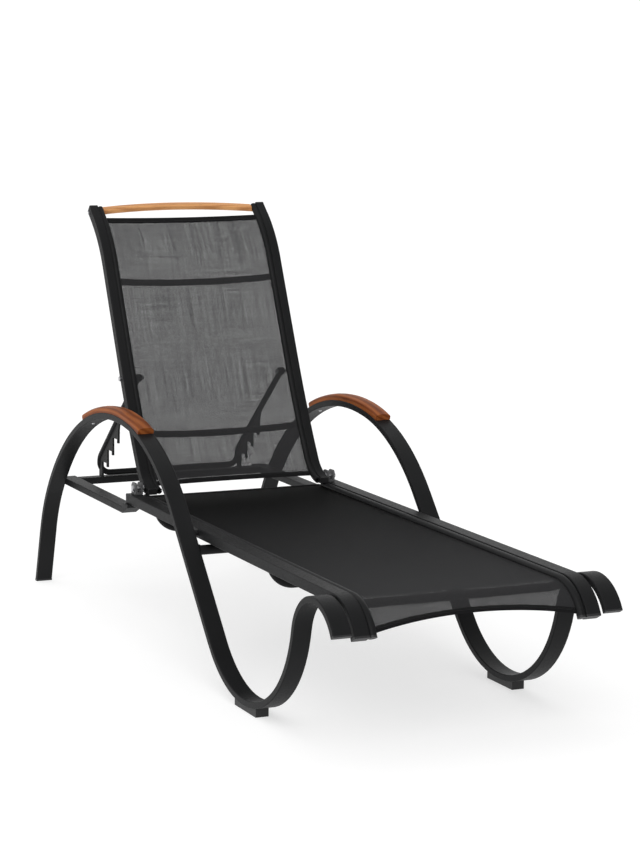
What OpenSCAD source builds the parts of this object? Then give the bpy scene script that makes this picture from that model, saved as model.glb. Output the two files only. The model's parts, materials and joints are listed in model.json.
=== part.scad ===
// Reclining sun lounger: two bent side frames with teak arms, a sling seat between
// extruded rails, and a hinged sling backrest propped by a notched support bail.
// Frame of reference: +Z up, width along X, foot end towards -Y, backrest towards +Y.

/* [Overall] */
// Overall width across the side frames
overall_w = 700; // [660:5:760]
// Width of the flat frame tube across X
tube_w = 44; // [38:1:50]
// Thickness of the flat frame tube
tube_t = 16; // [14:1:20]
// Wall of the frame tubes
tube_wall = 1.8; // [1.5:0.1:2.5]
// Chamfer along the corners of the tubes
tube_edge = 1.6; // [1:0.1:2]

/* [Side frame bends] */
// Lean of the rear leg from the vertical, degrees
leg_lean = 17.5; // [16:0.5:19]
// Straight stretch of the rear leg
leg_len = 166; // [150:1:180]
// Radius of the main arch over the arm
arch_r = 690; // [680:1:700]
// Radius of the bend from the arch into the front leg
shoulder_r = 530; // [520:1:540]
// Straight stretch of the front leg
front_leg_len = 372; // [366:1:378]
// Radius of the runner that stands on the front foot
runner_r = 288; // [284:1:292]
// Radius of the nose at the foot end
nose_r = 112; // [108:1:116]

/* [Seat] */
// Height of the top of the seat rails
seat_h = 348; // [346:1:349]
// Outer face of the seat rails from the middle
seat_half_w = 298; // [296:1:299]
// Width of the seat rail's box
seat_rail_w = 36; // [32:1:38]
// Depth of the seat rail's box
seat_rail_t = 25; // [22:1:25]
// Thickness of the sling fabric
sling_t = 1.2; // [0.8:0.1:1.6]

/* [Backrest] */
// Outer face of the backrest rails from the middle
back_half_w = 255; // [252:1:256]
// Width of the backrest rail's box
back_rail_w = 24; // [22:1:26]
// Depth of the backrest rail's box
back_rail_t = 26; // [24:1:27]
// How far the backrest's crossbars bow away from the sling
back_bow = 25; // [18:1:28]

/* [Support bail] */
// Diameter of the bail's bent tube
bail_d = 16; // [14:1:16]
// Distance of each bail arm from the middle
bail_half_w = 206; // [200:1:206]
// Distance between the notches along Y
notch_pitch = 44; // [42:1:45]

/* [Hidden] */
$fn = 64;

// Colours
powder = [0.13, 0.13, 0.14];
mesh_black = [0.07, 0.07, 0.075];
plastic_black = [0.05, 0.05, 0.05];
teak = [0.62, 0.36, 0.17];
steel = [0.55, 0.55, 0.57];
nylon_grey = [0.45, 0.45, 0.45];

// A pose is [y, z, heading]; heading turns from +Y towards +Z.
// A segment is [length] for a straight or [radius, turn] for a bend.
function seg_end(p, s) =
    len(s) == 1
    ? [p[0] + s[0] * cos(p[2]), p[1] + s[0] * sin(p[2]), p[2]]
    : let (k = sign(s[1]), h = p[2] + s[1])
      [p[0] + k * s[0] * (sin(h) - sin(p[2])), p[1] - k * s[0] * (cos(h) - cos(p[2])), h];
function pose_after(p, segs, n) = n == 0 ? p : seg_end(pose_after(p, segs, n - 1), segs[n - 1]);

// Side frame path, from the rear foot over the arm and round the runner to the nose
frame_out = overall_w / 2;
frame_in = frame_out - tube_w;
frame_mid = frame_out - tube_w / 2;
leg_bend_turn = 19;
leg_bend_r = 400;
arch_turn = 62;
shoulder_turn = 38.5;
runner_turn = -125;
nose_turn = 139;
rear_y = 1014.9;
frame_start = [rear_y, 0, 90 + leg_lean];
frame_segs = [
    [leg_len], [leg_bend_r, leg_bend_turn], [arch_r, arch_turn], [shoulder_r, shoulder_turn],
    [front_leg_len], [runner_r, runner_turn], [nose_r, nose_turn]
];
arch_pose = pose_after(frame_start, frame_segs, 2);
front_leg_pose = pose_after(frame_start, frame_segs, 4);
runner_pose = pose_after(frame_start, frame_segs, 5);
nose_start = pose_after(frame_start, frame_segs, 6);
nose_end = pose_after(frame_start, frame_segs, 7);
// Middle of the runner's bend, and the height of its underside above the floor
runner_y = runner_pose[0] + runner_r * sin(runner_pose[2]);
runner_z = runner_pose[1] - runner_r * cos(runner_pose[2]);
runner_outer_r = runner_r + tube_t / 2;

// Teak arm cap, over the crown of the arch
arm_w = 42;
arm_t = 17;
arm_crown = 3;
arm_start_turn = 32.5;
arm_front_turn = 8.2;
arm_screw_turns = [8, 22, 36];

// Feet and plugs
foot_len = 126;
foot_w = 32;
foot_h = 26;
plug_t = 4;
rear_foot_h = 5;

// Seat rail path, from the hinge end forward and down over the nose
seat_rear_y = 402;
seat_lobe_end = 378;
seat_z = seat_h - seat_rail_t / 2;
seat_nose_y = -905;
seat_nose_r = 112;
seat_nose_turn = 62;
seat_under = seat_h - seat_rail_t;
seat_start = [seat_rear_y, seat_z, 180];
seat_segs = [[seat_rear_y - seat_nose_y], [seat_nose_r, seat_nose_turn], [5]];
seat_end = pose_after(seat_start, seat_segs, 3);
spacer_front_y = nose_start[0] - nose_r * sin(nose_start[2]);
spacer_leg_y = front_leg_pose[0] + (seat_z - front_leg_pose[1]) / tan(front_leg_pose[2]);
seat_box_in = seat_half_w - seat_rail_w;
lobe_r = 10;
lobe_bore_r = 5.2;
lobe_x = seat_box_in - 9.5;
lobe_v = seat_rail_t / 2 - lobe_r;
slot_w = 2.4;
spline_r = 3.6;

// Round cross tubes bowed down between the undersides of the seat rails
bow_r = 58;
bow_half = 284;
bow_tube_r = 10;

// Rear rails, crossbar and hinge brackets
rear_rail_w = 40;
rear_rail_t = 18;
rear_rail_z = 295;
rear_rail_front = 415;
rear_rail_back = 905;
crossbar_y = 858;
crossbar_w = 30;

// Hinge of the backrest, in a forked bracket on top of each seat rail's end
hinge_y = 385;
hinge_z = 363;
hinge_r = 5;
bush_r = 8;
running_gap = 0.05;
bracket_x = 262;
bracket_w = 21;
bracket_leg = 5;
bracket_top = hinge_z + 15;
bracket_front = 373;
foot_clear_z = seat_h + 1.2;

// Backrest rail path, from its lower end up to the head
back_start = [354, 352.9, 12];
back_segs = [[4], [110, 45.5], [2300, 7], [300], [330, -25], [41]];
back_end = pose_after(back_start, back_segs, 6);
back_box_in = back_half_w - back_rail_w;
back_lobe_r = 8;
back_lobe_bore_r = 4.4;
back_lobe_x = back_box_in - 6.5;
back_lobe_v = back_rail_t / 2 - back_lobe_r;
back_spline_r = 3;
back_bend_pose = pose_after(back_start, back_segs, 2);
back_mid_pose = pose_after(back_start, back_segs, 3);
back_top_pose = pose_after(back_start, back_segs, 5);
bow_d = 18;
bow_end_v = -4;
back_bow_r = (back_box_in * back_box_in + back_bow * back_bow) / (2 * back_bow);
back_bow_turn = asin(back_box_in / back_bow_r) + 2;

// The back sling starts part of the way up the lower bend and ends below the top bar
sling_turn = 14;
sling_low = seg_end(back_start, back_segs[0]);
sling_start = seg_end(sling_low, [back_segs[1][0], sling_turn]);
sling_segs = [[back_segs[1][0], back_segs[1][1] - sling_turn], back_segs[2], back_segs[3],
              back_segs[4], [2]];

// Teak bar across the head, bowed backwards and slightly upwards
top_bar_h = 16;
top_bar_d = 22;
top_bar_rise = 20;
top_bar_pose = seg_end(back_top_pose, [back_segs[5][0] - 7]);

// Support bail: pivot on the backrest rails, cross tube on the rear crossbar
pivot_y = 563.5;
pivot_z = 626.5;
pivot_r = 3.5;
eye_r = 10;
eye_w = 16;
bail_slope = 40;
bail_arm = 391.5;
bail_bend_r = 30;
bail_corner_r = 29;
bail_r = bail_d / 2;
bail_start = [pivot_y, pivot_z, -bail_slope];
bail_segs = [[bail_arm], [bail_bend_r, bail_slope - 90]];
bail_low = pose_after(bail_start, bail_segs, 2);
bail_foot_y = bail_low[0];
bail_foot_z = bail_low[1] - bail_corner_r;
notch_t = 5;
notch_lip = 9;
notch_depth = 10;
notch_tip_y = 721;
notch_tip_z = 428;

// ---- shared building blocks ----

// Neighbouring lengths of a bent bar lap, one a hair smaller, so that they join into one solid
lap = 1;
skin = 0.1;

// Draws the children, a section in (x, v) with v to the left of travel, along one segment
module segment(s, back = 0, ahead = 0) {
    if (len(s) == 1)
        translate([0, s[0] + ahead, 0]) rotate([90, 0, 0])
            linear_extrude(s[0] + back + ahead) children();
    else
        mirror([0, 0, s[1] > 0 ? 0 : 1]) translate([0, 0, s[0]]) rotate([0, 90, 0])
            rotate(-180 / PI * back / s[0])
            rotate_extrude(angle = abs(s[1]) + 180 / PI * (back + ahead) / s[0], $fn = 180)
            translate([s[0], 0]) rotate(90) mirror([0, s[1] > 0 ? 0 : 1]) children();
}

module at_pose(p) {
    translate([0, p[0], p[1]]) rotate([p[2], 0, 0]) children();
}

// Sweeps a section along a path: the first child on one length, the second on the next
module sweep(start, segs) {
    last = len(segs) - 1;
    for (i = [0 : last]) at_pose(pose_after(start, segs, i)) {
        if (i % 2 == 0) segment(segs[i]) children(0);
        else segment(segs[i], lap, i < last ? lap : 0) children(1);
    }
}

// Rectangle centred on v between two x values, drawn in by e all round
module band(x0, x1, t, v = 0, e = 0) {
    translate([x0 + e, v - t / 2 + e]) square([x1 - x0 - 2 * e, t - 2 * e]);
}

// The same rectangle with its corners taken off
module edged_band(x0, x1, t, e = 0) {
    a = x0 + e;
    b = x1 - e;
    h = t / 2 - e;
    c = tube_edge;
    polygon([[a + c, -h], [b - c, -h], [b, c - h], [b, h - c],
             [b - c, h], [a + c, h], [a, h - c], [a, c - h]]);
}

module hollow_band(x0, x1, t, wall, e = 0) {
    difference() {
        edged_band(x0, x1, t, e);
        band(x0 + wall, x1 - wall, t - 2 * wall, 0, -e);
    }
}

// Extruded sling rail: a box with a slotted round channel on its inner side
module rail_section(box_in, box_out, t, lobe_at, lobe_v, r, bore_r, wall, e = 0) {
    difference() {
        union() {
            edged_band(box_in, box_out, t, e);
            translate([lobe_at, lobe_v]) circle(r - e);
            band(lobe_at, box_in + 1, r, lobe_v, e);
        }
        band(box_in + wall, box_out - wall, t - 2 * wall, 0, -e);
        translate([lobe_at, lobe_v]) circle(bore_r + e);
        translate([lobe_at - r - 1, lobe_v - slot_w / 2 - e]) square([r + 1, slot_w + 2 * e]);
    }
}

module rod_x(x0, x1, r) {
    translate([x0, 0, 0]) rotate([0, 90, 0]) cylinder(h = x1 - x0, r = r);
}

// Mirrors a right-hand piece to the left
module left() {
    mirror([1, 0, 0]) children();
}

// Button head screw pointing up along +Z, head underneath
module screw_up(shank_r, shank_len, head_r, head_t) {
    cylinder(h = shank_len, r = shank_r);
    translate([0, 0, -head_t]) cylinder(h = head_t, r1 = head_r * 0.7, r2 = head_r);
}

// ---- side frames ----

module side_frame() {
    color(powder) difference() {
        sweep(frame_start, frame_segs) {
            hollow_band(frame_in, frame_out, tube_t, tube_wall);
            hollow_band(frame_in, frame_out, tube_t, tube_wall, skin);
        }
        translate([frame_in - 1, rear_y - 60, -10]) cube([tube_w + 2, 120, rear_foot_h + 10]);
        for (a = arm_screw_turns)
            arch_place(a) translate([frame_mid, 0, -1]) cylinder(h = tube_t + 2, r = 2.2);
        runner_place() translate([frame_mid, 0, -2]) cylinder(h = 8, r = 2.2);
    }
}

// Stands on the underside of the arch, with +Z pointing out through the arm cap
module arch_place(turn) {
    p = seg_end(pose_after(frame_start, frame_segs, 2), [arch_r, arm_start_turn + turn - 6]);
    at_pose(p) rotate([180, 0, 0]) translate([0, 0, -tube_t / 2]) children();
}

// The lowest point of the runner, at its underside
module runner_place() {
    translate([0, runner_y, runner_z - runner_outer_r]) children();
}

module front_foot() {
    color(plastic_black) difference() {
        translate([frame_mid - foot_w / 2, runner_y - foot_len / 2, 0])
            cube([foot_w, foot_len, foot_h]);
        translate([0, runner_y, runner_z])
            rod_x(frame_mid - foot_w, frame_mid + foot_w, runner_outer_r, $fn = 360);
        translate([frame_mid, runner_y, -1]) cylinder(h = 40, r = 2.2);
        translate([frame_mid, runner_y, -1]) cylinder(h = 6, r = 5);
    }
}

module front_foot_screws() {
    color(steel) for (m = [0, 1]) mirror([m, 0, 0])
        translate([frame_mid, runner_y, 4.4]) screw_up(2.1, 15, 4.5, 2);
}

module rear_foot() {
    color(plastic_black) intersection() {
        at_pose(frame_start) translate([0, -10, 0]) segment([40])
            band(frame_in, frame_out, tube_t);
        translate([frame_in - 1, rear_y - 60, 0]) cube([tube_w + 2, 120, rear_foot_h]);
    }
}

module nose_plug() {
    color(plastic_black) {
        at_pose(nose_end) segment([plug_t]) edged_band(frame_in, frame_out, tube_t);
        at_pose(nose_end) translate([0, -14, 0]) segment([14])
            band(frame_in + tube_wall + 0.3, frame_out - tube_wall - 0.3,
                 tube_t - 2 * tube_wall - 1.2, 0.2);
    }
}

// ---- teak arms ----

module arm_section(e = 0) {
    w = arm_w / 2 - e;
    t = arm_t - e;
    translate([frame_mid, -tube_t / 2]) polygon([
        [-w, -e], [w, -e], [w, 4 + arm_crown - t], [w - 2, 1 + arm_crown - t],
        [w - 6, arm_crown - 1 - t], [w - 13, 0.6 - t], [0, -t], [13 - w, 0.6 - t],
        [6 - w, arm_crown - 1 - t], [2 - w, 1 + arm_crown - t], [-w, 4 + arm_crown - t]
    ]);
}

module teak_arm() {
    p = seg_end(arch_pose, [arch_r, arm_start_turn]);
    segs = [[arch_r, arch_turn - arm_start_turn], [shoulder_r, arm_front_turn]];
    color(teak) difference() {
        sweep(p, segs) {
            arm_section();
            arm_section(skin);
        }
        for (a = arm_screw_turns)
            arch_place(a) translate([frame_mid, 0, tube_t - 2]) cylinder(h = 12, r = 2.2);
    }
}

module arm_screws() {
    color(steel) for (m = [0, 1], a = arm_screw_turns) mirror([m, 0, 0])
        arch_place(a) translate([frame_mid, 0, 0]) screw_up(2.1, tube_t + 9, 4.5, 2.4);
}

// ---- seat ----

module seat_rail_profile(e = 0) {
    rail_section(seat_box_in, seat_half_w, seat_rail_t, lobe_x, -lobe_v,
                 lobe_r, lobe_bore_r, 2, e);
}

module seat_rail() {
    color(powder) difference() {
        sweep(seat_start, seat_segs) {
            seat_rail_profile();
            seat_rail_profile(skin);
        }
        translate([lobe_x - 2 * lobe_r, seat_lobe_end, seat_z - 40])
            cube([seat_box_in - lobe_x + 2 * lobe_r, 60, 80]);
    }
}

module seat_rail_cap() {
    color(plastic_black) at_pose(seat_end) segment([plug_t + 1]) union() {
        edged_band(seat_box_in, seat_half_w, seat_rail_t);
        translate([lobe_x, -lobe_v]) circle(lobe_r);
        band(lobe_x, seat_box_in + 1, lobe_r, -lobe_v);
    }
}

// Welded spacers between the side frames and the seat rails
module seat_spacers() {
    color(powder) for (m = [0, 1], y = [spacer_front_y, spacer_leg_y]) mirror([m, 0, 0])
        translate([0, y, seat_z]) rod_x(seat_half_w, frame_in, 7);
}

module seat_spline() {
    start = [seat_lobe_end, seat_z, 180];
    color(plastic_black) sweep(start, [[start[0] - seat_nose_y], seat_segs[1]]) {
        translate([lobe_x, -lobe_v]) circle(spline_r);
        translate([lobe_x, -lobe_v]) circle(spline_r - skin);
    }
}

module seat_sling() {
    reach = lobe_x - spline_r - 0.3;
    start = [seat_rear_y, seat_z, 180];
    color(mesh_black) sweep(start, [[start[0] - seat_nose_y], seat_segs[1]]) {
        band(-reach, reach, sling_t, -lobe_v);
        band(-reach, reach, sling_t, -lobe_v, skin);
    }
}

// Torus arc in the XZ plane about (x, z), from angle a0 to a1 measured from +X to +Z
module bend_xz(x, z, r, a0, a1, tube_r) {
    translate([x, 0, z]) rotate([90, 0, 0]) rotate([0, 0, a0])
        rotate_extrude(angle = a1 - a0, $fn = 180) translate([r, 0]) circle(tube_r);
}

// One bow with its ends carried a little above z = 0, where the rail's underside is
module bow_shape(turn) {
    low = (bow_r + bow_tube_r) * cos(turn) - bow_r + 0.5;
    run = bow_r * sin(turn);
    translate([0, 0, low]) rod_x(run - bow_half - lap, bow_half - run + lap, bow_tube_r - skin);
    for (m = [0, 1]) mirror([m, 0, 0])
        bend_xz(bow_half - run, low + bow_r, bow_r, -90, turn - 90, bow_tube_r);
}

module seat_bow(y, turn) {
    color(powder) translate([0, y, seat_under]) difference() {
        bow_shape(turn);
        translate([-seat_half_w, -20, 0]) cube([2 * seat_half_w, 40, 40]);
    }
}

module leg_crosstube() {
    z = 300;
    y = front_leg_pose[0] + (z - front_leg_pose[1]) / tan(front_leg_pose[2]);
    color(powder) translate([0, y, z]) difference() {
        rod_x(-frame_in, frame_in, 12);
        rod_x(-frame_in - 1, frame_in + 1, 10.2);
    }
}

module seat_rear_plugs() {
    color(plastic_black) for (m = [0, 1]) mirror([m, 0, 0])
        translate([0, seat_rear_y + 3, seat_z]) segment_x(3)
            edged_band(seat_box_in, seat_half_w, seat_rail_t);
}

// Extrudes an (x, z) section along -Y
module segment_x(len) {
    rotate([90, 0, 0]) linear_extrude(len) children();
}

// ---- rear of the base ----

module rear_rail() {
    color(powder) translate([0, rear_rail_back, rear_rail_z + rear_rail_t / 2])
        segment_x(rear_rail_back - rear_rail_front)
            hollow_band(frame_in - rear_rail_w, frame_in, rear_rail_t, tube_wall);
}

module rear_rail_plugs() {
    color(plastic_black) for (m = [0, 1]) mirror([m, 0, 0])
        translate([0, rear_rail_back + plug_t, rear_rail_z + rear_rail_t / 2])
            segment_x(plug_t) edged_band(frame_in - rear_rail_w, frame_in, rear_rail_t);
}

module rear_crossbar() {
    half = frame_in - rear_rail_w;
    color(powder) translate([-half, crossbar_y, rear_rail_z]) difference() {
        cube([2 * half, crossbar_w, rear_rail_t]);
        translate([-1, tube_wall, tube_wall])
            cube([2 * half + 2, crossbar_w - 2 * tube_wall, rear_rail_t - 2 * tube_wall]);
    }
}

// Slanted closing piece that carries the seat rail's end on the rear rail
module rear_gusset() {
    front = rear_rail_front;
    color(powder) translate([frame_in - rear_rail_w, 0, 0]) rotate([90, 0, 90])
        linear_extrude(rear_rail_w) polygon([
            [front, rear_rail_z], [front, rear_rail_z + rear_rail_t], [front - 10, seat_under],
            [front - 45, seat_under], [front - 42, seat_under - 8]
        ]);
}

// Forked bracket: two legs standing on a foot, bored for the hinge bolt
module hinge_bracket() {
    back = seat_rear_y + 2;
    color(nylon_grey) difference() {
        translate([bracket_x, 0, 0]) rotate([90, 0, 90]) linear_extrude(bracket_w) polygon([
            [bracket_front, seat_h], [bracket_front, bracket_top - 4],
            [bracket_front + 4, bracket_top], [back - 7, bracket_top],
            [back, bracket_top - 7], [back, seat_h]
        ]);
        translate([bracket_x + bracket_leg, bracket_front - 1, seat_h + 4])
            cube([bracket_w - 2 * bracket_leg, 60, 60]);
        translate([0, hinge_y, hinge_z]) rod_x(bracket_x - 1, bracket_x + bracket_w + 1, hinge_r);
    }
}

module hinge_bolts() {
    outer = bracket_x + bracket_w;
    color(steel) for (m = [0, 1]) mirror([m, 0, 0]) translate([0, hinge_y, hinge_z]) {
        rod_x(back_box_in + 1, outer, hinge_r);
        rod_x(back_half_w + 2.2, bracket_x, bush_r + 1);
        rod_x(outer, outer + 2.5, 8.5);
        rod_x(outer + 2, outer + 5, 6.5);
    }
}

// ---- backrest ----

// Room for the sling channel, where a bar across the backrest meets the rail
module back_lobe_room() {
    translate([back_lobe_x, back_lobe_v]) circle(back_lobe_r);
    translate([back_lobe_x - back_lobe_r, back_lobe_v]) square([2 * back_lobe_r, 40]);
}

module back_rail_profile(e = 0) {
    rail_section(back_box_in, back_half_w, back_rail_t, back_lobe_x, back_lobe_v,
                 back_lobe_r, back_lobe_bore_r, 2, e);
}

module back_rail() {
    color(powder) difference() {
        sweep(back_start, back_segs) {
            back_rail_profile();
            back_rail_profile(skin);
        }
        translate([0, hinge_y, hinge_z]) rod_x(back_box_in - 1, back_half_w + 1, bush_r);
        translate([0, pivot_y, pivot_z]) rod_x(back_box_in - 1, back_half_w + 1, pivot_r);
        foot_clearance();
    }
}

// The foot of the backrest rail is cut level, just above the seat rail
module foot_clearance() {
    translate([0, back_start[0] - 30, foot_clear_z - 60]) cube([300, 60, 60]);
}

module back_plug(p, len) {
    at_pose(p) segment([len]) edged_band(back_box_in, back_half_w, back_rail_t);
}

module back_foot_plugs() {
    color(plastic_black) for (m = [0, 1]) mirror([m, 0, 0]) difference() {
        back_plug(seg_end(back_start, [-3]), 3);
        foot_clearance();
    }
}

module back_top_plugs() {
    color(plastic_black) for (m = [0, 1]) mirror([m, 0, 0]) back_plug(back_end, plug_t);
}

module hinge_bushes() {
    color(plastic_black) for (m = [0, 1]) mirror([m, 0, 0])
        translate([0, hinge_y, hinge_z]) difference() {
            union() {
                rod_x(back_box_in, back_half_w + 2, bush_r);
                rod_x(back_half_w, back_half_w + 2, bush_r + 3);
            }
            rod_x(back_box_in - 1, back_half_w + 3, hinge_r + running_gap);
        }
}

// Round tube between the backrest rails, bowed away from the sling
module back_bow(p) {
    color(powder) at_pose(p) difference() {
        translate([0, 0, bow_end_v]) bend_xz(0, back_bow_r - back_bow, back_bow_r,
                                             -90 - back_bow_turn, back_bow_turn - 90, bow_d / 2);
        for (m = [0, 1]) mirror([m, 0, 0]) {
            translate([back_box_in, -30, -30]) cube([60, 60, 60]);
            translate([0, -30, 0]) segment([60]) back_lobe_room();
        }
    }
}

module back_bow_upper() {
    back_bow(seg_end(back_mid_pose, [252]));
}

module back_bow_lower() {
    back_bow(seg_end(back_bend_pose, [2300, 2.6]));
}

// Small clips behind the rails, below the upper bow
module back_rail_clips() {
    color(plastic_black) for (m = [0, 1]) mirror([m, 0, 0])
        at_pose(seg_end(back_mid_pose, [222])) segment([14])
            translate([back_box_in - 9, -12]) square([9, 8]);
}

module top_bar_section() {
    w = top_bar_d / 2;
    h = top_bar_h / 2;
    c = 4;
    polygon([[-w, c - h], [c - w, -h], [w - c, -h], [w, c - h],
             [w, h - c], [w - c, h], [c - w, h], [-w, h - c]]);
}

module teak_top_bar() {
    level = [top_bar_pose[0], top_bar_pose[1], 90 + top_bar_rise];
    color(teak) difference() {
        at_pose(level) translate([0, 0, back_bow_r - back_bow]) rotate([90, 0, 0])
            rotate([0, 0, -90 - back_bow_turn])
            rotate_extrude(angle = 2 * back_bow_turn, $fn = 180)
            translate([back_bow_r, 0]) top_bar_section();
        at_pose(top_bar_pose) for (m = [0, 1]) mirror([m, 0, 0]) {
            translate([back_box_in, -60, -60]) cube([60, 120, 120]);
            translate([0, -60, 0]) segment([120]) back_lobe_room();
        }
    }
}

module top_bar_screws() {
    color(steel) for (m = [0, 1]) mirror([m, 0, 0]) at_pose(top_bar_pose)
        translate([back_half_w, 0, -5]) {
            rod_x(0, 2.4, 4.5);
        }
}

module back_sling() {
    reach = back_lobe_x - back_spline_r - 0.3;
    color(mesh_black) sweep(sling_start, sling_segs) {
        band(-reach, reach, sling_t, back_lobe_v);
        band(-reach, reach, sling_t, back_lobe_v, skin);
    }
}

module back_spline() {
    color(plastic_black) sweep(sling_start, sling_segs) {
        translate([back_lobe_x, back_lobe_v]) circle(back_spline_r);
        translate([back_lobe_x, back_lobe_v]) circle(back_spline_r - skin);
    }
}

module bail_pivot_bolts() {
    eye_in = bail_half_w - eye_w / 2;
    eye_out = bail_half_w + eye_w / 2;
    color(steel) for (m = [0, 1]) mirror([m, 0, 0]) translate([0, pivot_y, pivot_z]) {
        rod_x(eye_in - 7, back_half_w, pivot_r);
        rod_x(eye_in - 7, eye_in - 0.5, 6.5);
        rod_x(eye_out + 0.5, back_box_in, 4.5);
        rod_x(back_half_w, back_half_w + 4, 6.5);
    }
}

// ---- support bail ----

module bail_shape(r) {
    half = bail_half_w - bail_corner_r;
    for (m = [0, 1]) mirror([m, 0, 0]) {
        at_pose(bail_start) segment(bail_segs[0]) translate([bail_half_w, 0]) circle(r);
        at_pose(pose_after(bail_start, bail_segs, 1)) segment(bail_segs[1], lap, lap)
            translate([bail_half_w, 0]) circle(r - skin);
        translate([0, bail_foot_y, 0])
            bend_xz(half, bail_low[1], bail_corner_r, -90, 0, r);
    }
    translate([0, bail_foot_y, bail_foot_z]) rod_x(-half - lap, half + lap, r - skin);
}

module eye_space(r) {
    for (m = [0, 1]) mirror([m, 0, 0]) translate([0, pivot_y, pivot_z])
        rod_x(bail_half_w - eye_w / 2 - 3, bail_half_w + eye_w / 2 + 3, r);
}

module bail_tube() {
    color(powder) difference() {
        bail_shape(bail_r);
        eye_space(eye_r);
    }
}

module bail_eyes() {
    color(powder) for (m = [0, 1]) mirror([m, 0, 0]) translate([0, pivot_y, pivot_z])
        difference() {
            rod_x(bail_half_w - eye_w / 2, bail_half_w + eye_w / 2, eye_r);
            rod_x(bail_half_w - eye_w, bail_half_w + eye_w, pivot_r + running_gap);
        }
}

// Height of the bail arm's centre line at y
function arm_z(y) = pivot_z - (y - pivot_y) * tan(bail_slope);

// Comb of hooks under the bail arm; the last one sits just above the rear crossbar
module notch_plate() {
    lip = notch_lip / 2;
    drop = notch_pitch * tan(bail_slope) + 2.6;
    last_y = notch_tip_y + 3 * notch_pitch - lip;
    deck = rear_rail_z + rear_rail_t + 2;
    outline = concat(
        [[notch_tip_y - lip - 14, arm_z(notch_tip_y - lip - 14)],
         [notch_tip_y - lip - 2, notch_tip_z + 36]],
        [for (k = [0 : 2], q = [[-lip, 0], [lip, 0], [lip, notch_depth],
                                [notch_pitch - lip, notch_depth]])
            [notch_tip_y + k * notch_pitch + q[0], notch_tip_z - k * drop + q[1]]],
        [[last_y, deck], [bail_foot_y, deck], [bail_foot_y, bail_low[1] + 10]]
    );
    color(powder) difference() {
        translate([bail_half_w - notch_t / 2, 0, 0]) rotate([90, 0, 90])
            linear_extrude(notch_t) polygon(outline);
        bail_shape(bail_r);
    }
}

left() side_frame();  // side_frame_left
side_frame();  // side_frame_right
left() front_foot();  // front_foot_left
front_foot();  // front_foot_right
left() rear_foot();  // rear_foot_left
rear_foot();  // rear_foot_right
left() nose_plug();  // nose_plug_left
nose_plug();  // nose_plug_right
left() teak_arm();  // teak_arm_left
teak_arm();  // teak_arm_right
arm_screws();
front_foot_screws();
left() seat_rail();  // seat_rail_left
seat_rail();  // seat_rail_right
left() seat_rail_cap();  // seat_rail_cap_left
seat_rail_cap();  // seat_rail_cap_right
seat_spacers();
seat_sling();
left() seat_spline();  // seat_spline_left
seat_spline();  // seat_spline_right
seat_bow(195, 68);  // seat_bow_rear
seat_bow(-538, 68);  // seat_bow_middle
seat_bow(-880, 46);  // seat_bow_front
leg_crosstube();
left() rear_rail();  // rear_rail_left
rear_rail();  // rear_rail_right
rear_rail_plugs();
seat_rear_plugs();
rear_crossbar();
left() rear_gusset();  // rear_gusset_left
rear_gusset();  // rear_gusset_right
left() hinge_bracket();  // hinge_bracket_left
hinge_bracket();  // hinge_bracket_right
hinge_bolts();
left() back_rail();  // back_rail_left
back_rail();  // back_rail_right
back_foot_plugs();
back_top_plugs();
hinge_bushes();
teak_top_bar();
top_bar_screws();
back_bow_upper();
back_bow_lower();
back_rail_clips();
back_sling();
left() back_spline();  // back_spline_left
back_spline();  // back_spline_right
bail_pivot_bolts();
bail_tube();
left() notch_plate();  // notch_plate_left
notch_plate();  // notch_plate_right
bail_eyes();
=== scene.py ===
"""Reclining sun lounger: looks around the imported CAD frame."""
import json
import math

import bmesh
import bpy
from mathutils import Matrix, Vector


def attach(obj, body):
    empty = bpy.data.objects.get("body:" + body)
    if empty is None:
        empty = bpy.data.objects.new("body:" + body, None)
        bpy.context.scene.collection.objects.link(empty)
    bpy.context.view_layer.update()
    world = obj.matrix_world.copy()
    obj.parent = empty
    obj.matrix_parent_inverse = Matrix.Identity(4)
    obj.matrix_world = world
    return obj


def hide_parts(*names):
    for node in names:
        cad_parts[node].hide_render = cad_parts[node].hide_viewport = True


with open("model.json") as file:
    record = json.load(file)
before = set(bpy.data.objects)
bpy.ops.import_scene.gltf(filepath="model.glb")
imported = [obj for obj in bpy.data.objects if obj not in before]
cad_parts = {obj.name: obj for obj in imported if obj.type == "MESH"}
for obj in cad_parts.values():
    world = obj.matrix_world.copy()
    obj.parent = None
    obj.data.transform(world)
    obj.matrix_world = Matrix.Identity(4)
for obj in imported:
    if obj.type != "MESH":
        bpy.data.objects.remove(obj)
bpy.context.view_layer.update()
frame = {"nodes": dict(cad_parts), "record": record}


# ---------------------------------------------------------------- paths, as in the CAD source

def seg_end(pose, seg):
    """End pose (y, z, heading in degrees) of a straight (length,) or an arc (radius, turn)."""
    y, z, h = pose
    a = math.radians(h)
    if len(seg) == 1:
        return (y + seg[0] * math.cos(a), z + seg[0] * math.sin(a), h)
    r, turn = seg
    k = math.copysign(1, turn)
    b = math.radians(h + turn)
    return (y + k * r * (math.sin(b) - math.sin(a)),
            z - k * r * (math.cos(b) - math.cos(a)), h + turn)


def seg_length(seg):
    return seg[0] if len(seg) == 1 else seg[0] * math.radians(abs(seg[1]))


def pose_at(start, segs, s):
    """Pose at distance s along a path, in metres; past either end it runs straight on."""
    pose = start
    for i, seg in enumerate(segs):
        length = seg_length(seg)
        if s <= length or i == len(segs) - 1:
            if len(seg) == 1:
                return seg_end(pose, (s,))
            if s <= 0:
                return seg_end(pose, (s,))
            if s > length:
                return seg_end(seg_end(pose, seg), (s - length,))
            return seg_end(pose, (seg[0], seg[1] * s / length))
        pose = seg_end(pose, seg)
        s -= length
    return pose


def off_path(pose, x, v):
    """The point beside a pose: x across, v to the left of travel."""
    y, z, h = pose
    a = math.radians(h)
    return Vector((x, y - v * math.sin(a), z + v * math.cos(a)))


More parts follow.
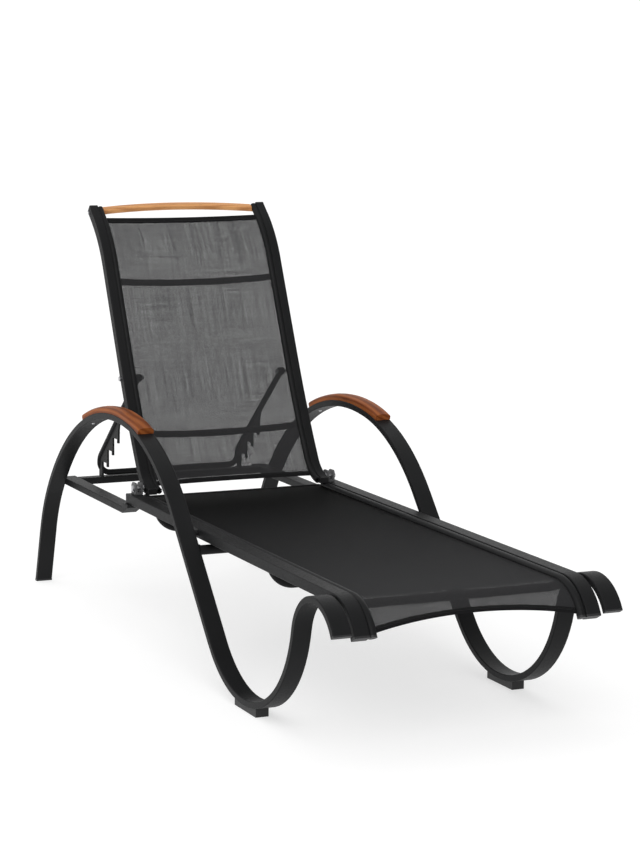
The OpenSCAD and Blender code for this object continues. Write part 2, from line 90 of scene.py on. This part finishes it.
# Path of the backrest rails: a foot bend, a long shallow bend, a straight and a bend back.
FOOT_BEND = 0.110
LONG_BEND = 2.300
BACK_FOOT = (0.3579, 0.35373, 12)

# Run of each sling, its offset from that run, and half its clear width.
SEAT_START = (0.402, 0.3355, 180)
SEAT_SEGS = [(1.307,), (0.112, 62)]
SEAT_V = -0.0025
SEAT_HALF = 0.2490
BACK_START = seg_end(BACK_FOOT, (FOOT_BEND, 14))
BACK_SEGS = [(FOOT_BEND, 31.5), (LONG_BEND, 7), (0.300,), (0.330, -25), (0.002,)]
BACK_V = 0.005
BACK_HALF = 0.2215


# ---------------------------------------------------------------- mesh helpers

def new_object(name, verts, faces, uvs=None, smooth=True):
    mesh = bpy.data.meshes.new(name)
    mesh.from_pydata([tuple(v) for v in verts], [], faces)
    if uvs is not None:
        layer = mesh.uv_layers.new(name="cloth")
        for loop in mesh.loops:
            layer.data[loop.index].uv = uvs[loop.vertex_index]
    for poly in mesh.polygons:
        poly.use_smooth = smooth
    mesh.update()
    obj = bpy.data.objects.new(name, mesh)
    bpy.context.scene.collection.objects.link(obj)
    return obj


def grid_faces(rows, cols, closed=False):
    faces = []
    for i in range(rows - 1):
        for j in range(cols if closed else cols - 1):
            k = (j + 1) % cols
            faces.append((i * cols + j, i * cols + k, (i + 1) * cols + k, (i + 1) * cols + j))
    return faces


def recalc_normals(obj):
    bm = bmesh.new()
    bm.from_mesh(obj.data)
    bmesh.ops.recalc_face_normals(bm, faces=bm.faces)
    bm.to_mesh(obj.data)
    bm.free()


# ---------------------------------------------------------------- node helpers

class Shader:
    """A material with one Principled shader, and short calls that add nodes to it."""

    def __init__(self, name):
        self.material = bpy.data.materials.new(name)
        self.material.use_nodes = True
        self.tree = self.material.node_tree
        self.tree.nodes.clear()
        out = self.tree.nodes.new("ShaderNodeOutputMaterial")
        self.bsdf = self.tree.nodes.new("ShaderNodeBsdfPrincipled")
        self.tree.links.new(self.bsdf.outputs[0], out.inputs["Surface"])

    def feed(self, socket, value):
        if isinstance(value, bpy.types.NodeSocket):
            self.tree.links.new(value, socket)
        else:
            socket.default_value = value

    def add(self, kind, inputs=(), **props):
        node = self.tree.nodes.new("ShaderNode" + kind)
        for key, value in props.items():
            setattr(node, key, value)
        for key, value in dict(inputs).items():
            self.feed(node.inputs[key], value)
        return node

    def math(self, op, a, b=0.0, c=0.0, clamp=False):
        return self.add("Math", {0: a, 1: b, 2: c}, operation=op, use_clamp=clamp).outputs[0]

    def xyz(self, vector):
        node = self.add("SeparateXYZ", {0: vector})
        return node.outputs[0], node.outputs[1], node.outputs[2]

    def vec(self, x, y, z):
        return self.add("CombineXYZ", {0: x, 1: y, 2: z}).outputs[0]

    def where(self):
        return self.add("TexCoord").outputs["Object"]

    def noise(self, vector, scale, detail=2.0, rough=0.5, distortion=0.0):
        return self.add("TexNoise", {"Vector": vector, "Scale": scale, "Detail": detail,
                                     "Roughness": rough, "Distortion": distortion}).outputs[0]

    def ramp(self, value, *stops):
        node = self.add("ValToRGB", {0: value})
        band = node.color_ramp
        while len(band.elements) < len(stops):
            band.elements.new(0.5)
        for element, (at, colour) in zip(band.elements, stops):
            element.position = at
            element.color = (*colour, 1)
        return node.outputs[0]

    def span(self, value, low, high, to_low=0.0, to_high=1.0):
        return self.add("MapRange", {0: value, 1: low, 2: high, 3: to_low, 4: to_high}).outputs[0]

    def mix(self, factor, a, b):
        node = self.add("Mix", data_type="RGBA")
        self.feed(node.inputs[0], factor)
        for socket, value in ((node.inputs[6], a), (node.inputs[7], b)):
            self.feed(socket, (*value, 1) if isinstance(value, tuple) else value)
        return node.outputs[2]

    def bump(self, height, strength, distance, normal=None):
        node = self.add("Bump", {"Strength": strength, "Distance": distance, "Height": height})
        if normal is not None:
            self.feed(node.inputs["Normal"], normal)
        return node.outputs[0]

    def finish(self, **sockets):
        for key, value in sockets.items():
            name = key.replace("_", " ")
            if name == "Base Color" and isinstance(value, tuple):
                value = (*value, 1)
            self.feed(self.bsdf.inputs[name], value)
        return self.material


def grey(v):
    return (v, v, v)


# ---------------------------------------------------------------- materials

YARN_PITCH = 0.0017
UV_SHIFT = 1.0


def powder_coat():
    """Satin charcoal powder coat: fine orange peel, faint tone changes, a little dust on top."""
    s = Shader("powder_coat")
    p = s.where()
    tone = s.noise(p, 7.0, 3.0)
    dust = s.math("MULTIPLY", s.span(s.xyz(s.add("NewGeometry").outputs["Normal"])[2], 0.5, 1.0),
                  s.span(s.noise(p, 22.0, 4.0, 0.7), 0.45, 0.75, 0.0, 0.35))
    base = s.ramp(tone, (0.3, (0.0100, 0.0102, 0.0106)), (0.7, (0.0130, 0.0132, 0.0138)))
    peel = s.noise(p, 1400.0, 2.0, 0.6)
    edge = s.add("Bevel", {"Radius": 0.0022}, samples=4).outputs[0]
    return s.finish(
        Base_Color=s.mix(dust, base, (0.016, 0.016, 0.017)),
        Roughness=s.span(s.noise(p, 260.0, 3.0), 0.3, 0.7, 0.40, 0.54),
        Specular_IOR_Level=0.09,
        Normal=s.bump(peel, 0.22, 0.00025, edge))


def woven(name, cover, tone, painted_shade_at_start=1.0, doubled=False):
    """Open weave of coated yarns. UVs are metres along the cloth; cover is yarn width / pitch.

    The painted-shade factor is painted shade on the end where the cloth's length starts: the colour
    there is scaled by it, against 1 further along."""
    s = Shader(name)
    uv = s.add("UVMap", uv_map="cloth").outputs[0]
    u, v, _ = s.xyz(uv)
    profiles, masks, cells = [], [], []
    for along, across in ((u, v), (v, u)):
        count = s.math("DIVIDE", along, YARN_PITCH)
        cell = s.math("FLOOR", count)
        slub = s.noise(s.vec(s.math("MULTIPLY", cell, 0.41), s.math("MULTIPLY", across, 5.0), 0.0),
                       1.0, 1.0, 0.4)
        spread = 0.09 if along == u else 0.06
        width = s.span(slub, 0.28, 0.72, cover - spread, cover + spread)
        off = s.math("ABSOLUTE", s.math("MULTIPLY_ADD", s.math("FRACT", count), 2.0, -1.0))
        ratio = s.math("DIVIDE", off, width)
        profiles.append(s.math("SQRT", s.math("SUBTRACT", 1.0, s.math("POWER", ratio, 2.0),
                                              clamp=True)))
        masks.append(s.span(ratio, 0.86, 1.20, 1.0, 0.0))
        cells.append(cell)
    parity = s.math("ABSOLUTE", s.math("MODULO", s.math("ADD", cells[0], cells[1]), 2.0))
    warp = s.math("MULTIPLY", profiles[0], s.span(parity, 0.0, 1.0, 0.55, 1.0))
    weft = s.math("MULTIPLY", profiles[1], s.span(parity, 0.0, 1.0, 1.0, 0.55))
    height = s.math("MAXIMUM", warp, weft)
    solid = s.math("MAXIMUM", masks[0], masks[1])
    if doubled:
        solid = s.math("MAXIMUM", solid, 0.93)
    streak = s.noise(s.vec(s.math("MULTIPLY", cells[0], 0.71), s.math("MULTIPLY", cells[1], 0.71),
                           0.0), 1.0, 2.0, 0.8)
    # Painted shade: the colour darkens where a yarn lies low or curves away at its edges; the
    # streaks are random yarn tone.
    shade = s.math("MULTIPLY", s.span(height, 0.2, 1.0, 0.55, 1.0),
                   s.span(streak, 0.3, 0.7, 0.85, 1.15))
    # Painted shade along the length: darkest at the end where the cloth's length starts.
    shade = s.math("MULTIPLY", shade, s.span(v, UV_SHIFT + 0.2, UV_SHIFT + 1.3, painted_shade_at_start, 1.0))
    colour = s.mix(shade, (0, 0, 0), tone)
    return s.finish(
        Base_Color=colour,
        Roughness=s.span(streak, 0.3, 0.7, 0.62, 0.78),
        Specular_IOR_Level=0.05,
        Alpha=solid,
        Normal=s.bump(height, 0.6, 0.0005))


def teak(name, light, dark, gloss, bend=None):
    """Oiled teak. The grain follows x, or with bend=(y, z, r) the arc about that point."""
    s = Shader(name)
    x, y, z = s.xyz(s.where())
    if bend is None:
        along, a, b = x, y, z
    else:
        dy = s.math("SUBTRACT", y, bend[0])
        dz = s.math("SUBTRACT", z, bend[1])
        along = s.math("MULTIPLY", s.math("ARCTAN2", dz, dy), bend[2])
        a = s.math("SQRT", s.math("ADD", s.math("POWER", dy, 2.0), s.math("POWER", dz, 2.0)))
        b = x
    grain_at = s.vec(s.math("MULTIPLY", along, 0.045), a, b)
    warp = s.noise(s.vec(s.math("MULTIPLY", along, 0.5), a, b), 9.0, 2.0)
    rings = s.noise(grain_at, 95.0, 3.0, 0.55, 0.6)
    band = s.math("ADD", s.math("MULTIPLY", s.math("ADD", a, s.math("MULTIPLY", b, 0.6)), 420.0),
                  s.math("ADD", s.math("MULTIPLY", warp, 9.0), s.math("MULTIPLY", rings, 3.0)))
    ring = s.math("MULTIPLY_ADD", s.math("SINE", band), 0.5, 0.5)
    pores = s.noise(s.vec(s.math("MULTIPLY", along, 0.05), a, b), 1500.0, 2.0, 0.6)
    pore = s.span(pores, 0.60, 0.72, 0.0, 1.0)
    patch = s.noise(s.vec(s.math("MULTIPLY", along, 0.35), a, b), 26.0, 3.0)
    tone = s.math("ADD", s.math("MULTIPLY", ring, 0.45), s.math("MULTIPLY", patch, 0.55))
    mid = tuple((p + q) / 2 for p, q in zip(light, dark))
    colour = s.ramp(s.math("ADD", s.math("MULTIPLY", tone, 0.7), s.math("MULTIPLY", rings, 0.3)),
                    (0.28, dark), (0.50, mid), (0.74, light))
    colour = s.mix(s.math("MULTIPLY", pore, 0.55), colour, tuple(c * 0.35 for c in dark))
    height = s.math("SUBTRACT", s.math("MULTIPLY", rings, 0.6), s.math("MULTIPLY", pore, 0.5))
    return s.finish(
        Base_Color=colour,
        Roughness=s.span(rings, 0.3, 0.7, 0.42, 0.58),
        Specular_IOR_Level=gloss,
        Normal=s.bump(height, 0.35, 0.0004))


def moulded(name, tone, rough):
    """Injection-moulded plastic with a fine spark-eroded texture."""
    s = Shader(name)
    p = s.where()
    fine = s.noise(p, 900.0, 2.0, 0.7)
    return s.finish(
        Base_Color=s.ramp(s.noise(p, 40.0, 3.0), (0.3, tuple(c * 0.86 for c in tone)), (0.7, tone)),
        Roughness=s.span(fine, 0.3, 0.7, rough - 0.06, rough + 0.06),
        Specular_IOR_Level=0.35,
        Normal=s.bump(fine, 0.3, 0.0003))


def stainless():
    s = Shader("stainless_steel")
    x, y, z = s.xyz(s.where())
    lines = s.noise(s.vec(s.math("MULTIPLY", x, 0.15), y, z), 2600.0, 2.0, 0.6)
    return s.finish(
        Base_Color=s.ramp(lines, (0.3, (0.40, 0.40, 0.41)), (0.7, (0.58, 0.58, 0.60))),
        Metallic=1.0,
        Roughness=s.span(lines, 0.3, 0.7, 0.26, 0.42),
        Normal=s.bump(lines, 0.15, 0.0002))


def thread():
    s = Shader("black_thread")
    p = s.where()
    twist = s.noise(p, 2600.0, 2.0)
    return s.finish(Base_Color=s.ramp(twist, (0.3, grey(0.010)), (0.7, grey(0.026))),
                    Roughness=s.span(twist, 0.3, 0.7, 0.55, 0.7),
                    Normal=s.bump(twist, 0.4, 0.0003))


ARCH_CENTRE = (0.3503, -0.1344, 0.690)
POWDER = powder_coat()
MESH_BACK = woven("back_mesh", 0.61, (0.038, 0.038, 0.0395))
# The seat's colour is darkened towards its rear end, where its length starts, with painted shade.
MESH_SEAT = woven("seat_mesh", 0.65, (0.036, 0.036, 0.0375), painted_shade_at_start=0.04)
MESH_DOUBLE = woven("sling_hem", 0.80, (0.0110, 0.0110, 0.0116), doubled=True)
TEAK_ARM = teak("teak_arm_grain", (0.33, 0.100, 0.026), (0.130, 0.031, 0.008), 0.07, ARCH_CENTRE)
TEAK_BAR = teak("teak_bar_grain", (0.76, 0.38, 0.150), (0.44, 0.185, 0.066), 0.18)
PLASTIC = moulded("black_plastic", (0.018, 0.018, 0.019), 0.5)
NYLON = moulded("grey_nylon", (0.105, 0.105, 0.108), 0.55)
STEEL = stainless()
THREAD = thread()

SLOT_MATERIAL = {
    "powder_coat": POWDER, "sling_mesh": MESH_SEAT, "black_plastic": PLASTIC,
    "grey_nylon": NYLON, "stainless_steel": STEEL, "teak": TEAK_ARM,
}
SLOT_OF = {s["node"]: s["material_slot"] for s in frame["record"]["subparts"]}


def paint(obj, material):
    obj.data.materials.clear()
    obj.data.materials.append(material)


for name, obj in frame["nodes"].items():
    look = TEAK_BAR if name == "teak_top_bar" else SLOT_MATERIAL[SLOT_OF[name]]
    for i in range(len(obj.material_slots)):
        obj.material_slots[i].material = look
    if not obj.material_slots:
        obj.data.materials.append(look)


# ---------------------------------------------------------------- slings

SAG = 0.004
HEM_THICK = 0.0022
LAYER_GAP = 0.00017
THREAD_R = 0.00035
STITCH_STEP = 0.0042
STITCH_LENGTH = 0.0030
CLOTH_COLS = 33
HEM_COLS = 61


class Stretched:
    """A stretched sheet between two rails: sags a little in the middle, its ends pulled inward."""

    def __init__(self, start, segs, v, half, pull):
        self.start, self.segs, self.v, self.half, self.pull = start, segs, v, half, pull
        self.length = sum(seg_length(seg) for seg in segs)

    def bow(self, x):
        """1 on the middle line, 0 at the rails."""
        return 1 - (x / self.half) ** 2

    def edge(self, x, at_end):
        """Distance along the run of the first or last edge, which is pulled in at the middle."""
        inward = self.pull[1 if at_end else 0] * self.bow(x)
        return self.length - inward if at_end else inward

    def at(self, x, s):
        """Pose at distance s along the run, and the sheet's height there."""
        ease = math.sin(math.pi * min(max(s / self.length, 0), 1)) ** 0.5
        level = self.v - math.copysign(SAG * self.bow(x) * ease, self.v)
        return pose_at(self.start, self.segs, s), level

    def across(self, j, cols):
        return self.half * (2 * j / (cols - 1) - 1)


def cloth_sheet(name, shape, rows, material):
    """The open weave itself, as two yarn layers close together."""
    verts, uvs = [], []
    for i in range(rows):
        for j in range(CLOTH_COLS):
            x = shape.across(j, CLOTH_COLS)
            low, high = shape.edge(x, False), shape.edge(x, True)
            s = low + (high - low) * i / (rows - 1)
            pose, level = shape.at(x, s)
            verts.append(off_path(pose, x, level))
            uvs.append((x + UV_SHIFT, s + UV_SHIFT))
    obj = new_object(name, verts, grid_faces(rows, CLOTH_COLS), uvs)
    thick = obj.modifiers.new("yarn thickness", "SOLIDIFY")
    thick.thickness = LAYER_GAP
    thick.offset = 0
    thick.use_rim = False
    paint(obj, material)
    return obj


def hem(name, shape, at_end, width):
    """The folded end of a sling: a flat tube of doubled cloth along its edge."""
    ring = [(0.0, -1), (0.15, -1), (0.5, -1), (0.85, -1), (1.0, -0.6), (1.04, 0), (1.0, 0.6),
            (0.85, 1), (0.5, 1), (0.15, 1), (0.0, 1)]
    side = 1 if at_end else -1
    verts, uvs = [], []
    for j in range(HEM_COLS):
        x = shape.across(j, HEM_COLS)
        for t, lift in ring:
            s = shape.edge(x, at_end) - side * width * (1 - t)
            pose, level = shape.at(x, s)
            verts.append(off_path(pose, x, level + lift * HEM_THICK / 2))
            uvs.append((x + UV_SHIFT, s + UV_SHIFT + (0.0006 if lift > 0 else 0)))
    n = len(ring)
    faces = grid_faces(HEM_COLS, n, closed=True)
    faces.append(tuple(range(n)))
    faces.append(tuple((HEM_COLS - 1) * n + k for k in reversed(range(n))))
    obj = new_object(name, verts, faces, uvs)
    recalc_normals(obj)
    paint(obj, MESH_DOUBLE)
    return obj


def stitches(name, shape, at_end, rows):
    """Rows of short thread stitches that stand on both faces of a hem."""
    side = 1 if at_end else -1
    rings, sides = 5, 4
    last = (rings - 1) * sides
    verts, faces = [], []
    for row in rows:
        for k in range(int(2 * shape.half / STITCH_STEP)):
            mid = -shape.half + (k + 0.5) * STITCH_STEP
            for face in (-1, 1):
                base = len(verts)
                for m in range(rings):
                    t = m / (rings - 1)
                    x = mid + STITCH_LENGTH * (t - 0.5)
                    pose, level = shape.at(x, shape.edge(x, at_end) - side * row)
                    arc = math.sin(math.pi * t)
                    level += face * (HEM_THICK / 2 + THREAD_R * (0.9 * arc ** 0.5 - 0.3))
                    swell = THREAD_R * (0.6 + 0.4 * arc)
                    for q in range(sides):
                        a = 2 * math.pi * q / sides
                        p = seg_end(pose, (swell * math.cos(a),))
                        verts.append(off_path(p, x, level + swell * math.sin(a)))
                for m in range(rings - 1):
                    for q in range(sides):
                        a, b = base + sides * m + q, base + sides * m + (q + 1) % sides
                        faces.append((a, b, b + sides, a + sides))
                faces.append(tuple(base + q for q in reversed(range(sides))))
                faces.append(tuple(base + last + q for q in range(sides)))
    obj = new_object(name, verts, faces)
    recalc_normals(obj)
    paint(obj, THREAD)
    return obj


def make_sling(prefix, body, shape, material, ends, widths, rows):
    """One sling's cloth, and a sewn hem at each end. Returns the cloth."""
    cloth = cloth_sheet(prefix + "_cloth", shape, rows, material)
    extras = []
    for at_end, word, width in zip((False, True), ends, widths):
        extras.append(hem(f"{prefix}_{word}_hem", shape, at_end, width))
        extras.append(stitches(f"{prefix}_{word}_stitches", shape, at_end,
                               (width - 0.003, width - 0.006)))
    for piece in [cloth, *extras]:
        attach(piece, body)
    return cloth


seat_shape = Stretched(SEAT_START, SEAT_SEGS, SEAT_V, SEAT_HALF, (0.002, 0.027))
seat_cloth = make_sling("seat", "frame", seat_shape, MESH_SEAT, ("rear", "front"),
                        (0.014, 0.013), 121)
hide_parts("seat_sling")
back_shape = Stretched(BACK_START, BACK_SEGS, BACK_V, BACK_HALF, (0.004, 0.004))
back_cloth = make_sling("back", "backrest", back_shape, MESH_BACK, ("lower", "upper"),
                        (0.018, 0.018), 81)
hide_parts("back_sling")


# ---------------------------------------------------------------- weld beads

def bead(verts, faces, ring, r, seed):
    """Adds a rippled fillet of weld along a closed ring of points."""
    n, sides, base = len(ring), 8, len(verts)
    centre = sum(ring, Vector()) / n
    normal = (ring[0] - centre).cross(ring[n // 4] - centre).normalized()
    for i, p in enumerate(ring):
        out = (p - centre).normalized()
        swell = r * (1 + 0.22 * math.sin(i * 2.1 + seed) + 0.08 * math.sin(i * 0.7 + 2 * seed))
        for k in range(sides):
            a = 2 * math.pi * k / sides
            verts.append(p + out * (swell * math.cos(a)) + normal * (swell * math.sin(a)))
    for i in range(n):
        j = (i + 1) % n
        for k in range(sides):
            q = (k + 1) % sides
            faces.append((base + i * sides + k, base + i * sides + q,
                          base + j * sides + q, base + j * sides + k))


def ellipse(centre, first, second, n=44):
    """Ring of points about a centre, from its two half axes."""
    return [Vector(centre) + Vector(first) * math.cos(2 * math.pi * i / n)
            + Vector(second) * math.sin(2 * math.pi * i / n) for i in range(n)]


def weld_object(name, rings, r, body):
    """One object with a bead of weld along each ring."""
    verts, faces = [], []
    for seed, ring in enumerate(rings):
        bead(verts, faces, ring, r, seed)
    obj = new_object(name, verts, faces)
    recalc_normals(obj)
    paint(obj, POWDER)
    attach(obj, body)


# Tube between the front legs: its y, z and radius, and where it meets a leg.
LEG_TUBE_Y, LEG_TUBE_Z, LEG_TUBE_R = -0.1404, 0.300, 0.012
LEG_FACE_X = 0.3055
# Dipped tubes under the seat rails: y, x and the bead's half length across, per tube.
SEAT_BOWS = ((0.195, 0.2821, 0.0112), (-0.538, 0.2821, 0.0112), (-0.880, 0.2752, 0.0165))
RAIL_UNDERSIDE_Z = 0.3228
SEAT_BOW_R = 0.0102
# Bowed tubes of the backrest, which meet the inner faces of its rails.
BACK_FACE_X = 0.2308
BACK_BOW_V = -0.004
BACK_BOW_R = 0.0094

foot_end = seg_end(BACK_FOOT, (FOOT_BEND, 45.5))
bend_end = seg_end(foot_end, (LONG_BEND, 7))
upper_bow = seg_end(bend_end, (0.252,))
lower_bow = seg_end(foot_end, (LONG_BEND, 2.6))
frame_rings, back_rings = [], []
for side in (-1, 1):
    reach = LEG_TUBE_R + 0.0004
    frame_rings.append(ellipse((side * LEG_FACE_X, LEG_TUBE_Y, LEG_TUBE_Z),
                               (0, reach, 0), (0, 0, reach)))
    for y, x, long in SEAT_BOWS:
        frame_rings.append(ellipse((side * x, y, RAIL_UNDERSIDE_Z), (long, 0, 0),
                                   (0, SEAT_BOW_R, 0)))
    for pose in (upper_bow, lower_bow):
        x = side * BACK_FACE_X
        at = off_path(pose, x, BACK_BOW_V)
        along = off_path(seg_end(pose, (BACK_BOW_R,)), x, BACK_BOW_V) - at
        across = off_path(pose, x, BACK_BOW_V - BACK_BOW_R) - at
        back_rings.append(ellipse(at, along, across))
weld_object("frame_welds", frame_rings, 0.0016, "frame")
weld_object("backrest_welds", back_rings, 0.0014, "backrest")


# ---------------------------------------------------------------- floor, light and camera

FLOOR_HALF = 60


def floor_white():
    """Matt white that also gives off light, so that shadows on it stay pale."""
    s = Shader("floor_white")
    white = s.ramp(s.noise(s.where(), 3.0, 2.0), (0.3, grey(0.45)), (0.7, grey(0.46)))
    return s.finish(Base_Color=white, Roughness=0.7, Specular_IOR_Level=0.0,
                    Emission_Color=(1, 1, 1, 1), Emission_Strength=0.62)


corners = [(-1, -1), (1, -1), (1, 1), (-1, 1)]
floor = new_object("floor", [(x * FLOOR_HALF, y * FLOOR_HALF, 0) for x, y in corners],
                   [(0, 1, 2, 3)], smooth=False)
paint(floor, floor_white())

# A studio whose light is stronger from behind and to the left of the lounger.
world = bpy.data.worlds.new("studio")
bpy.context.scene.world = world
world.use_nodes = True
tree = world.node_tree
background = tree.nodes["Background"]
direction = tree.nodes.new("ShaderNodeTexCoord").outputs["Generated"]
towards = tree.nodes.new("ShaderNodeVectorMath")
towards.operation = "DOT_PRODUCT"
towards.inputs[1].default_value = (-0.45, 0.86, 0.0)
tree.links.new(direction, towards.inputs[0])
glow = tree.nodes.new("ShaderNodeMapRange")
glow.interpolation_type = "SMOOTHSTEP"
for socket, value in zip(list(glow.inputs)[1:5], (-0.60, 0.45, 0.35, 1.04)):
    socket.default_value = value
tree.links.new(towards.outputs["Value"], glow.inputs[0])
tree.links.new(glow.outputs[0], background.inputs["Strength"])
background.inputs["Color"].default_value = (1, 1, 1, 1)


def sun(name, where, energy, spread):
    """A sun that shines from the direction where, with an angular size in degrees."""
    data = bpy.data.lights.new(name, "SUN")
    data.energy = energy
    data.angle = math.radians(spread)
    obj = bpy.data.objects.new(name, data)
    bpy.context.scene.collection.objects.link(obj)
    obj.rotation_mode = "QUATERNION"
    obj.rotation_quaternion = (-Vector(where)).to_track_quat("-Z", "Y")


sun("key", (-0.50, -0.95, 0.85), 1.45, 50)

CAMERA_AT = (-2.505, -5.7785, 1.5168)
YAW, PITCH, ROLL = 24.04, 8.595, 0.409
LENS = 107.95

yaw, pitch, roll = (math.radians(a) for a in (YAW, PITCH, ROLL))
ahead = Vector((math.sin(yaw) * math.cos(pitch), math.cos(yaw) * math.cos(pitch),
                -math.sin(pitch)))
level = Vector((math.cos(yaw), -math.sin(yaw), 0))
rise = level.cross(ahead)
right = level * math.cos(roll) + rise * math.sin(roll)
up = rise * math.cos(roll) - level * math.sin(roll)
data = bpy.data.cameras.new("camera")
data.lens = LENS
data.sensor_width = 36.0
camera = bpy.data.objects.new("camera", data)
bpy.context.scene.collection.objects.link(camera)
turn = Matrix((right, up, -ahead)).transposed().to_4x4()
camera.matrix_world = Matrix.Translation(CAMERA_AT) @ turn
bpy.context.scene.camera = camera
bpy.context.scene.view_settings.view_transform = "Standard"
